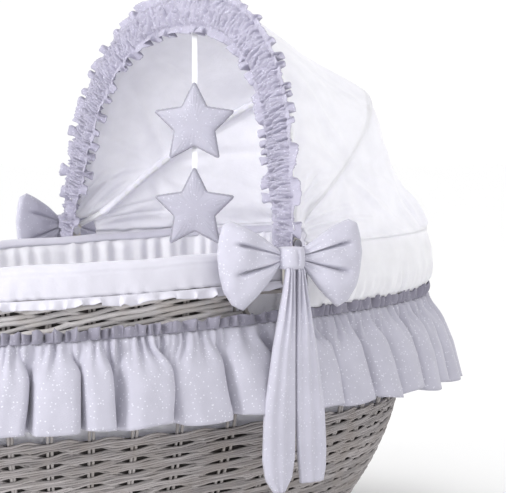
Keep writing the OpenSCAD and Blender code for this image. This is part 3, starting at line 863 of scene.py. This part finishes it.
def hood_band():
    """The band below the rim that closes the hood over the basket, full at the middle and gathered below."""
    n, m = 700, 18
    u = np.linspace(0, 1, n)[:, None]
    v = np.linspace(0, 1, m)[None]
    turn = APRON_TURN * (1 - 2 * u)
    puff = np.interp(v, [0, 0.10, 0.35, 0.65, 0.85, 1], [0.0138, 0.0155, 0.0210, 0.0225, 0.0195, 0.0135])
    ends = smooth(u / 0.03) * smooth((1 - u) / 0.03)
    gathers = 0.0020 * ripple(turn, 90, 170, 8) * smooth((v - 0.45) / 0.55)
    gathers = gathers + 0.0014 * ripple(turn, 30, 70) * smooth(v / 0.3)
    out = lerp(0.0148, puff, ends) + gathers * ends * (0.35 + 0.65 * smooth((1 - v) / 0.12))
    drop = lerp(-0.0015, 0.0805, v) + 0.0012 * ripple(turn, 20, 50) * v
    made = sheet_piece("hood_band", on_wall(out, drop, turn), WHITE_COTTON, "white_cotton", 0.0014)
    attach(made, "basket")
    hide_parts("hood_lower_band")


TRIM_HALF_WIDTH = 0.0300
CURLS_IN = 0.0330        # between one curl and the next along the trim's inner edge
CURLS_OUT = 0.0360


def hood_ruffle():
    """The front hoop's ruched trim: a wrinkled middle, two gathering lines, and two curly edges."""
    n, m = 1250, 41
    u = np.linspace(0, 1, n)[:, None]
    o = np.linspace(-1, 1, m)[None]
    length = 1.02
    s = u * length
    start = math.asin((0.004 / TRIM["r"]) ** (HOOP_E / 2))
    t = start + (math.pi - 2 * start) * (u - 0.04 * np.sin(2 * math.pi * u))
    narrow = 0.60 + 0.40 * smooth(np.minimum(u, 1 - u) / 0.07)
    frill = smooth((np.abs(o) - 0.60) / 0.40)
    side = np.sign(o)
    curl_in = 2 * math.pi * (s / CURLS_IN) + 3.4 * bumps(s, 0, 7) + 1.9 * bumps(s, 0, 19)
    curl_out = 2 * math.pi * (s / CURLS_OUT) + 3.4 * bumps(s, 0, 7) + 1.9 * bumps(s, 0, 19)
    curl = np.where(o < 0, curl_in, curl_out)
    size = np.clip(0.95 + 0.50 * bumps(s, side * 0.4, 22), 0.25, 1.7)
    wave = np.tanh(1.5 * np.sin(curl))
    fine = 0
    for count, reach, weight in ((85, 0.004, 1.0), (135, 0.006, 0.9), (220, 0.009, 0.5)):
        fine = fine + weight * (1 - 1.5 * np.abs(bumps(s, o * reach, count, 6)))
    middle = 1 - smooth((np.abs(o) - 0.55) / 0.2)
    lines = np.exp(-((np.abs(o) - 0.62) / 0.045) ** 2)
    ragged = 0.0005 * bumps(s, side * 0.3, 55)
    foot = 1 - smooth(np.minimum(u, 1 - u) / 0.09)
    edge = size * 0.0010 * np.cos(curl + 0.9) + 0.0016 + ragged
    offset = 0.014 * foot + o * TRIM_HALF_WIDTH * narrow + side * frill * edge
    slide = -frill * size * 0.0036 * np.sin(2 * curl)
    flat = arch(TRIM, np.clip(t + slide / 0.34, 0.002, math.pi - 0.002), offset)
    flat[..., 1] -= 0.016 * foot ** 2
    raised = 0.0135 + 0.0045 * np.cos(math.pi * o * 0.5) + fine * 0.0042 * (middle + 0.20 * frill)
    raised = raised + frill * (size * 0.0076 * wave + 0.0010) - 0.0040 * lines
    raised = raised - 0.006 * foot
    points = in_space(TRIM, flat, -raised)
    made = sheet_piece("hood_ruffle", points, SPOTTED_FOLD_SHADE, "spotted_cotton", 0.0011)
    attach(made, "front_bow")
    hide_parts("hood_trim")


hood_front()
rear_casing()
hood_rear()
hood_band()
hood_ruffle()


# ---- Cloth simulation ----

def pressed(obj, voxel, pressure, cap, frames=20):
    """Puffs a closed mesh with cloth and pressure. No point moves further than cap."""
    remesh = obj.modifiers.new("even", "REMESH")
    remesh.mode = "VOXEL"
    remesh.voxel_size = voxel
    settle(obj)
    rest = np.zeros(len(obj.data.vertices) * 3)
    obj.data.vertices.foreach_get("co", rest)
    cloth = obj.modifiers.new("cloth", "CLOTH")
    cloth.settings.quality = 5
    cloth.settings.use_pressure = True
    cloth.settings.uniform_pressure_force = pressure
    cloth.settings.effector_weights.gravity = 0
    scene = bpy.context.scene
    for number in range(1, frames + 1):
        scene.frame_set(number)
    settle(obj)
    scene.frame_set(1)
    moved = np.zeros_like(rest)
    obj.data.vertices.foreach_get("co", moved)
    step = (moved - rest).reshape(-1, 3)
    far = np.linalg.norm(step, axis=1, keepdims=True)
    step *= np.minimum(1, cap / np.maximum(far, 1e-9))
    obj.data.vertices.foreach_set("co", (rest.reshape(-1, 3) + step).ravel())
    round_off = obj.modifiers.new("smooth", "SUBSURF")
    round_off.levels = 1
    settle(obj)
    return obj


# ---- Stars ----

STAR_R = 0.060
STAR_T = 0.014
STAR_TURN = math.radians(48)


def star_points(radius, valley, per_side=14):
    """The star's outline, with slightly rounded tips."""
    corners = []
    for k in range(10):
        r = radius if k % 2 == 0 else valley
        a = math.pi / 2 + math.pi * k / 5
        corners.append(np.array([r * math.cos(a), r * math.sin(a)]))
    outline = []
    for k in range(10):
        p, q = corners[k], corners[(k + 1) % 10]
        for i in range(per_side):
            outline.append(lerp(p, q, i / per_side))
    outline = np.array(outline)
    for _ in range(2):
        outline = (np.roll(outline, 1, 0) + 2 * outline + np.roll(outline, -1, 0)) / 4
    return outline


def place_star(flat, z):
    """Star points (across, up, towards the viewer) stood in space, below the crest."""
    across = np.array([-math.sin(STAR_TURN), math.cos(STAR_TURN), 0])
    face = np.array([-math.cos(STAR_TURN), -math.sin(STAR_TURN), 0])
    origin = np.array([CREST.x, CREST.y, z])
    up = np.array([0, 0, 1])
    return origin + flat[..., :1] * -across + flat[..., 1:2] * up + flat[..., 2:3] * face


def star(name, node, z):
    """A padded star with a raised edge along its seam, coloured darker as painted shade round its outline."""
    outline = star_points(STAR_R - 0.001, STAR_R * 0.5)
    n = len(outline)
    rings = 16
    front, back = [], []
    for i in range(rings + 1):
        share = 1 - i / rings
        shape = outline * share
        dome = (1 - share ** 3.2) ** 0.62 * (STAR_T / 2 - 0.0026) + 0.0022
        wrinkle = 0.0005 * np.sin(np.arange(n) * 2 * math.pi * 5 * 7 / n) * share ** 2 * (1 - share) * 4
        front.append(np.column_stack([shape, STAR_T / 2 + dome + wrinkle]))
        back.append(np.column_stack([shape, STAR_T / 2 - dome - wrinkle]))
    grid = np.array(back[::-1] + front)
    points = place_star(grid, z)
    faces = quads(len(grid), n, False, True)
    body = piece(name, points, faces, SPOTTED, "spotted_cotton")
    weld = body.modifiers.new("weld", "WELD")
    weld.merge_threshold = 0.00005
    settle(body)
    finish_mesh(body)
    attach(body, "star_string")
    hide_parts(node)
    path = np.column_stack([star_points(STAR_R - 0.0016, STAR_R * 0.5 - 0.0008, 24), np.zeros(240)])
    n = len(path)
    stitches = 1.2 + 0.10 * np.sin(np.arange(n) * 2 * math.pi * 60 / n)
    up = np.zeros((1, n, 3)) + np.array([-math.cos(STAR_TURN), -math.sin(STAR_TURN), 0])
    parts = []
    for lift in (STAR_T / 2 + 0.0019, STAR_T / 2 - 0.0019):
        path[:, 2] = lift
        parts.append(tubes(place_star(path, z)[None], up, 0.0015 * stitches[None], 8))
    edge = piece(name + "_edging", *joined(parts), STAR_EDGE_SHADE, "spotted_cotton")
    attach(edge, "star_string")


star("padded_star_upper", "upper_star", 0.577)
star("padded_star_lower", "lower_star", 0.456)


# ---- Bows ----

BOW_AT = {-1: Vector((0.034, 0.290, 0.402)), 1: Vector((0.070, 0.297, 0.426))}   # near and far
BOW_TURN = math.radians(12)
KNOT_W = 0.037
KNOT_H = 0.029


def place_bow(flat, side):
    """Bow points (to the right as seen from outside, up, towards the viewer) in space."""
    x, z, y = flat[..., 0], flat[..., 1], flat[..., 2]
    at, turn = BOW_AT[side], BOW_TURN
    turned_x = at.x + x * math.cos(turn) - y * math.sin(turn)
    turned_y = at.y + x * math.sin(turn) + y * math.cos(turn)
    return np.stack([turned_x, side * turned_y, at.z + z], -1)


def bow_loop(hand, side):
    """One padded loop: three lobes, with two creases that run out from the knot."""
    n, m = 56, 96
    t = np.linspace(0, 1, n)[:, None]
    w = np.linspace(-1, 1, m // 2)
    ends = np.array([(0.068, -0.066), (0.084, -0.058), (0.096, -0.040), (0.102, -0.018), (0.1045, 0.006),
                     (0.102, 0.026), (0.097, 0.044), (0.085, 0.049)])
    w_at = np.array([-1, -0.82, -0.55, -0.25, 0.05, 0.38, 0.72, 1])
    end_x, end_z = np.interp(w, w_at, ends[:, 0]), np.interp(w, w_at, ends[:, 1])
    start_x, start_z = np.full_like(w, KNOT_W / 2 - 0.002), 0.0105 * w
    x = lerp(start_x, end_x, t)
    z = lerp(start_z, end_z, t) + 0.004 * np.sin(math.pi * t) * w
    full = 0.0050 + 0.0125 * np.sin(math.pi * np.clip(t, 0, 1) * 0.78) ** 0.8
    closed = (1 - t ** 7) ** 0.5
    rounded = (1 - np.abs(w) ** 3.5) ** 0.5
    for at in (-0.32, 0.34):
        reach = 1 - smooth((t - 0.58) / 0.28)
        width = 0.026 + 0.030 * t
        rounded = rounded * (1 - 0.86 * reach * np.exp(-((w - at) / width) ** 2))
    puff = full * closed * rounded
    puff = puff * (1 + 0.09 * bumps(x * 1.0, z * 1.0, 26, 8))
    puff = puff * (1 + 0.16 * np.sin(14 * w + 2 * hand) * (1 - smooth(t / 0.5)))
    front = np.stack([hand * x, z, puff], -1)
    back = np.stack([hand * x, z, -puff * 0.5], -1)[:, ::-1]
    grid = np.concatenate([front, back], 1)
    n, m = grid.shape[:2]
    faces = quads(n, m, False, True).tolist() + [list(range(m)), [(n - 1) * m + i for i in range(m)]]
    return place_bow(grid, side).reshape(-1, 3), faces


def bow(side, name):
    points, faces = joined([bow_loop(-1, side), bow_loop(1, side)])
    made = piece("bow_" + name, points, faces, SPOTTED_BOW, "spotted_cotton")
    weld = made.modifiers.new("weld", "WELD")
    weld.merge_threshold = 0.0001
    settle(made)
    finish_mesh(made)
    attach(made, "basket")
    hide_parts("bow_loops_" + name)

    n, m = 48, 30
    a = np.linspace(0, 2 * math.pi, n, endpoint=False)[:, None]
    v = np.linspace(-1, 1, m)[None]
    pinch = 1 - 0.20 * np.exp(-((a - math.pi * 0.46 - 0.05 * v) / 0.07) ** 2) * np.cos(v * 1.3)
    half_w = (KNOT_W / 2 - 0.0005) * (1 - 0.06 * v ** 2)
    depth = np.where(np.sin(a) > 0, 0.0175, 0.0110) * (1 - 0.55 * v ** 4) ** 0.5
    x = half_w * squared(np.cos(a), 2.5)
    y = depth * squared(np.sin(a), 2.4) * pinch
    z = KNOT_H / 2 * v * (1 - 0.05 * np.cos(a) ** 2)
    grid = np.stack([x + 0 * v, z + 0 * a, y + 0 * v], -1)
    faces = quads(n, m, True, False).tolist() + [[k * m for k in range(n)], [k * m + m - 1 for k in range(n)]]
    knot = piece("bow_knot_wrap_" + name, place_bow(grid, side), faces, SPOTTED_BOW, "spotted_cotton")
    soft = knot.modifiers.new("round", "BEVEL")
    soft.width = 0.004
    soft.segments = 4
    soft.limit_method = "ANGLE"
    settle(knot)
    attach(knot, "basket")
    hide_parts("bow_knot_" + name)

    parts = [tail(side, -1), tail(side, 1)]
    tails = piece("bow_tail_pair_" + name, *joined(parts), SPOTTED_BOW, "spotted_cotton")
    thicken(tails, 0.0012)
    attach(tails, "basket")
    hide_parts("bow_tails_" + name)


def tail(side, hand):
    """A hanging end of the bow, gathered at the top, folded double and shaped at the tip."""
    n, m = 90, 46
    v = np.linspace(0, 1, n)[:, None]
    u = np.linspace(0, 1, m)[None]
    long = 0.288 if hand < 0 else 0.280
    down_at = [0, 0.10, 0.35, 0.65, 0.85, 0.94, 1]
    if hand > 0:
        inner = [0.003, 0.002, 0.001, 0.002, 0.005, 0.008, 0.010]
        outer = [0.012, 0.017, 0.034, 0.048, 0.051, 0.050, 0.046]
    else:
        inner = [0.003, 0.002, 0.000, 0.000, 0.001, 0.006, 0.018]
        outer = [0.012, 0.017, 0.033, 0.048, 0.050, 0.045, 0.032]
    left, right = np.interp(v, down_at, inner), np.interp(v, down_at, outer)
    x = hand * (0.001 + lerp(left, right, u))
    gather = (1 - smooth(v / 0.45))
    folds = 0.0038 * np.sin(2 * math.pi * 2.6 * u + 0.6 * hand + 1.5 * v) * (0.25 + 0.75 * gather)
    lobe = 0.0050 * np.sin(math.pi * u) ** 0.7 * smooth(v / 0.25)
    y = 0.0105 + folds * smooth(v / 0.03 + 0.3) + lobe * (1 - 0.4 * v)
    z = -KNOT_H / 2 + 0.003 - long * v
    at = BOW_AT[side]
    place = np.stack([at.x + x, side * (at.y + y + 0 * u), at.z + z + 0 * u], -1)
    back_y = 0.0062 + 0.4 * folds * gather + 0 * u
    back = np.stack([at.x + x, side * (at.y + back_y), at.z + z + 0 * u], -1)[:, ::-1]
    grid = np.concatenate([place, back], 1)
    n, m = grid.shape[:2]
    return grid.reshape(-1, 3), quads(n, m, False, True).tolist()


bow(-1, "near")
bow(1, "far")


# ---- Mattress ----

def mattress():
    low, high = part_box("mattress_cover")
    n = 160
    turn = np.arange(n) / n
    edge = 0.018
    out_base = high.x - RIM_A
    section = [(out_base - 0.004 - edge * (1 - math.cos(a)), low.z + 0.003 + edge * (1 - math.sin(a)))
               for a in np.linspace(math.pi / 2, 0, 6)]
    section += [(out_base - 0.004 - edge * (1 - math.cos(a)), high.z - 0.003 - edge * (1 - math.sin(a)))
                for a in np.linspace(0, math.pi / 2, 6)]
    grid = []
    for out, z in section:
        flat = on_wall(out, 0.3, turn)
        flat[:, 2] = z
        grid.append(flat)
    grid = np.array(grid)
    k = len(grid)
    faces = quads(k, n, False, True).tolist() + [list(range(n)), [(k - 1) * n + i for i in range(n)]]
    made = piece("mattress_quilted", grid, faces, QUILT, "mattress_cotton")
    pressed(made, 0.006, 3.0, 0.0026)
    co = np.zeros(len(made.data.vertices) * 3)
    made.data.vertices.foreach_get("co", co)
    co = co.reshape(-1, 3)
    p, q = (co[:, 0] + co[:, 1]) / 0.07, (co[:, 0] - co[:, 1]) / 0.07
    groove = np.exp(-((p - np.round(p)) / 0.05) ** 2) + np.exp(-((q - np.round(q)) / 0.05) ** 2)
    top = smooth((co[:, 2] - high.z + 0.016) / 0.01)
    co[:, 2] -= 0.0022 * np.minimum(groove, 1) * top
    made.data.vertices.foreach_set("co", co.ravel())
    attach(made, "mattress")
    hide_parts("mattress_cover")


mattress()


# ---- Camera, light and floor ----

scene = bpy.context.scene
camera = bpy.data.objects.new("camera", bpy.data.cameras.new("camera"))
scene.collection.objects.link(camera)
scene.camera = camera
camera.location = (-1.468, -2.114, 0.543)
YAW, PITCH = math.radians(51.7), math.radians(-3.06)
looking = Vector((math.cos(YAW) * math.cos(PITCH), math.sin(YAW) * math.cos(PITCH), math.sin(PITCH)))
camera.rotation_euler = looking.to_track_quat("-Z", "Y").to_euler()
camera.data.lens = 131.05
camera.data.sensor_width = 36

world = bpy.data.worlds.new("studio")
scene.world = world
world.use_nodes = True
world.node_tree.nodes["Background"].inputs["Color"].default_value = (1.0, 1.0, 1.0, 1)
world.node_tree.nodes["Background"].inputs["Strength"].default_value = 1.03
scene.view_settings.view_transform = "Standard"


def soft_light(name, place, aim, size, power, spread=180):
    made = bpy.data.objects.new(name, bpy.data.lights.new(name, "AREA"))
    scene.collection.objects.link(made)
    made.data.size = size
    made.data.energy = power
    made.data.spread = math.radians(spread)
    made.location = place
    made.rotation_euler = (Vector(aim) - Vector(place)).to_track_quat("-Z", "Y").to_euler()


soft_light("key", (-2.6, -0.35, 1.3), (0.15, 0.05, 0.5), 0.8, 42)
soft_light("hood_fill", (-2.1, -0.75, 0.95), (0.32, 0.08, 0.58), 0.5, 0.25, 24)
soft_light("fill", (-1.2, -2.4, 2.6), (0, 0, 0.35), 1.6, 9)

floor = bpy.data.objects.new("floor", bpy.data.meshes.new("floor"))
scene.collection.objects.link(floor)
FLOOR_R = 60
angles = [math.radians(a) for a in range(0, 360, 6)]
rim = [(FLOOR_R * math.cos(a), FLOOR_R * math.sin(a), 0) for a in angles]
floor.data.from_pydata(rim, [], [list(range(len(rim)))])
pale, _ = new_material("pale_floor", (0.97, 0.97, 0.97), 0.95)
floor.data.materials.append(pale)
